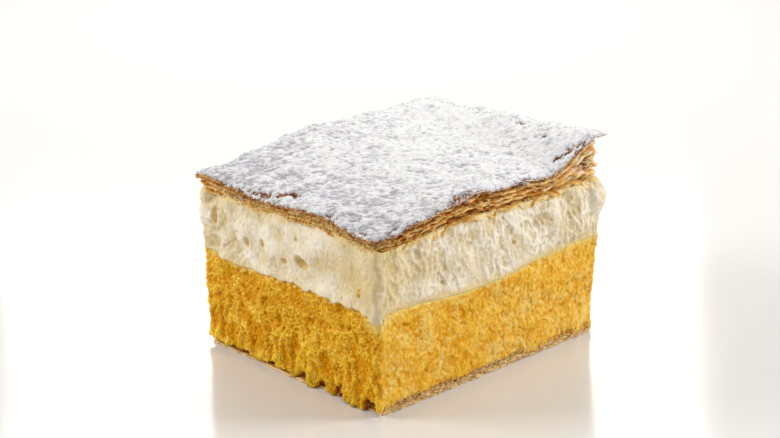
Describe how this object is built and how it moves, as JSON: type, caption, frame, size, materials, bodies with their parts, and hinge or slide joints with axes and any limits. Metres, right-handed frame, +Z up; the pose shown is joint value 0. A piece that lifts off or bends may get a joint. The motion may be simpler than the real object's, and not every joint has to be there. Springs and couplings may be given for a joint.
{
  "type": "mille feuille slice",
  "caption": "Square-cut cream slice: a thick custard layer and a whipped cream layer between two puff pastry sheets, dusted with icing sugar.",
  "frame": {"origin": "on the plate, under the middle of the slice's bounding box", "axes": "+Z up through the layers, +X along the longer cut side towards the lifted corner, -Y and -X the two cut sides shown"},
  "size_m": [0.0982, 0.0844, 0.0645],
  "materials": {
    "baked_pastry": "dry, flaky baked dough",
    "custard": "moist, softly scattering, torn by the cut",
    "whipped_cream": "matte and softly scattering",
    "sugared_pastry": "puffed golden leaves under dry icing sugar"
  },
  "bodies": {
    "root": {"bottom_pastry": "baked_pastry", "custard": "custard", "whipped_cream": "whipped_cream", "top_pastry": "sugared_pastry"}
  },
  "joints": []
}
